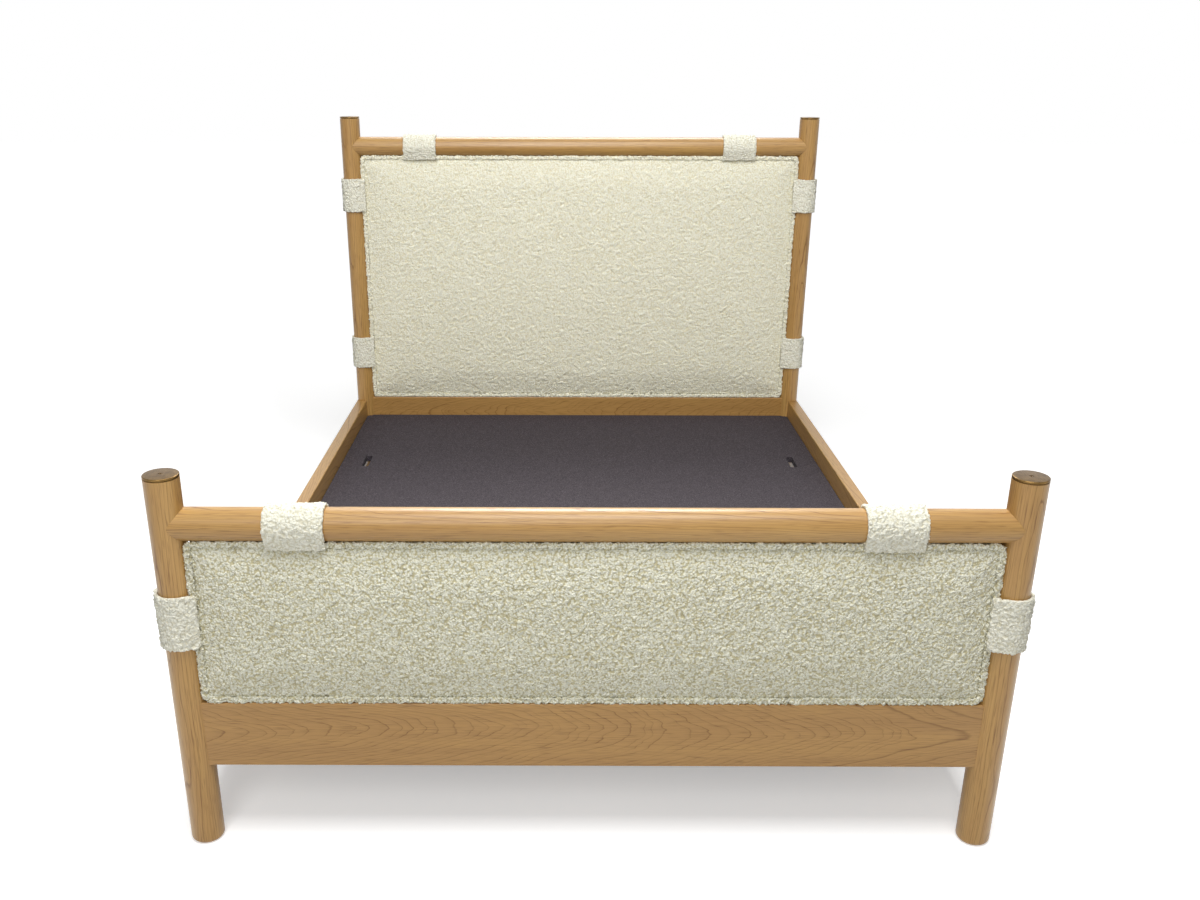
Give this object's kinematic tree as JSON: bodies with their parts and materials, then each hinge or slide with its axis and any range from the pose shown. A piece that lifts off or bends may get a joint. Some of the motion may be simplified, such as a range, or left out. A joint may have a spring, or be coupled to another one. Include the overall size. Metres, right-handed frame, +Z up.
{
  "type": "bed frame",
  "caption": "Oak bed frame with round capped posts, round end rails, soft pads strapped to the posts and rails at both ends, flat side rails and a lift-out panel deck.",
  "frame": {"origin": "on the floor, under the middle of the bed's outline", "axes": "+Z up, +Y from the foot end to the head end, +X to the right for someone who stands at the foot and looks at the head"},
  "size_m": [1.6606, 2.2006, 1.3212],
  "materials": {
    "oak": "natural oak, satin clear coat, straight grain along each piece",
    "bronze": "antique bronze, satin",
    "bronze_screw": "dark bronze",
    "support_wood": "planed softwood, unfinished",
    "deck": "charcoal film-faced plywood, matt with a fine speckle",
    "pad_board": "plywood",
    "boucle": "cream boucle, looped pile",
    "boucle_strap": "cream boucle, looped pile",
    "glide": "black nylon",
    "steel": "zinc plated"
  },
  "bodies": {
    "frame": {"beam_stirrups": "steel", "cap_foot_left": "bronze", "cap_foot_right": "bronze", "cap_head_left": "bronze", "cap_head_right": "bronze", "cap_screws": "bronze_screw", "catch_plates": "steel", "centre_beam": "support_wood", "centre_leg_foot": "support_wood", "centre_leg_head": "support_wood", "cleat_left": "support_wood", "cleat_right": "support_wood", "cleat_screws": "steel", "foot_pad_board": "pad_board", "foot_pad_inner": "boucle", "foot_pad_outer": "boucle", "head_pad_board": "pad_board", "head_pad_inner": "boucle", "head_pad_outer": "boucle", "hook_plates": "steel", "lower_rail_foot": "oak", "lower_rail_head": "oak", "post_foot_left": "oak", "post_foot_right": "oak", "post_head_left": "oak", "post_head_right": "oak", "side_rail_left": "oak", "side_rail_right": "oak", "slat_1": "support_wood", "slat_2": "support_wood", "slat_3": "support_wood", "slat_4": "support_wood", "slat_5": "support_wood", "slat_6": "support_wood", "slat_7": "support_wood", "strap_foot_side_left": "boucle_strap", "strap_foot_side_right": "boucle_strap", "strap_foot_top_left": "boucle_strap", "strap_foot_top_right": "boucle_strap", "strap_head_high_left": "boucle_strap", "strap_head_high_right": "boucle_strap", "strap_head_low_left": "boucle_strap", "strap_head_low_right": "boucle_strap", "strap_head_top_left": "boucle_strap", "strap_head_top_right": "boucle_strap", "top_rail_foot": "oak", "top_rail_head": "oak"},
    "foot_deck": {"deck_panel_foot": "deck"},
    "head_deck": {"deck_panel_head": "deck"},
    "foot_glide": {"glide_foot": "glide"},
    "head_glide": {"glide_head": "glide"}
  },
  "joints": [
    {"name": "foot_deck_lift", "type": "slide", "parent": "frame", "child": "foot_deck", "axis": [0, 0, 1], "range_m": [0, 0.07]},
    {"name": "head_deck_lift", "type": "slide", "parent": "frame", "child": "head_deck", "axis": [0, 0, 1], "range_m": [0, 0.07]},
    {"name": "foot_glide_level", "type": "slide", "parent": "frame", "child": "foot_glide", "axis": [0, 0, 1], "range_m": [0, 0.01]},
    {"name": "head_glide_level", "type": "slide", "parent": "frame", "child": "head_glide", "axis": [0, 0, 1], "range_m": [0, 0.01]}
  ]
}
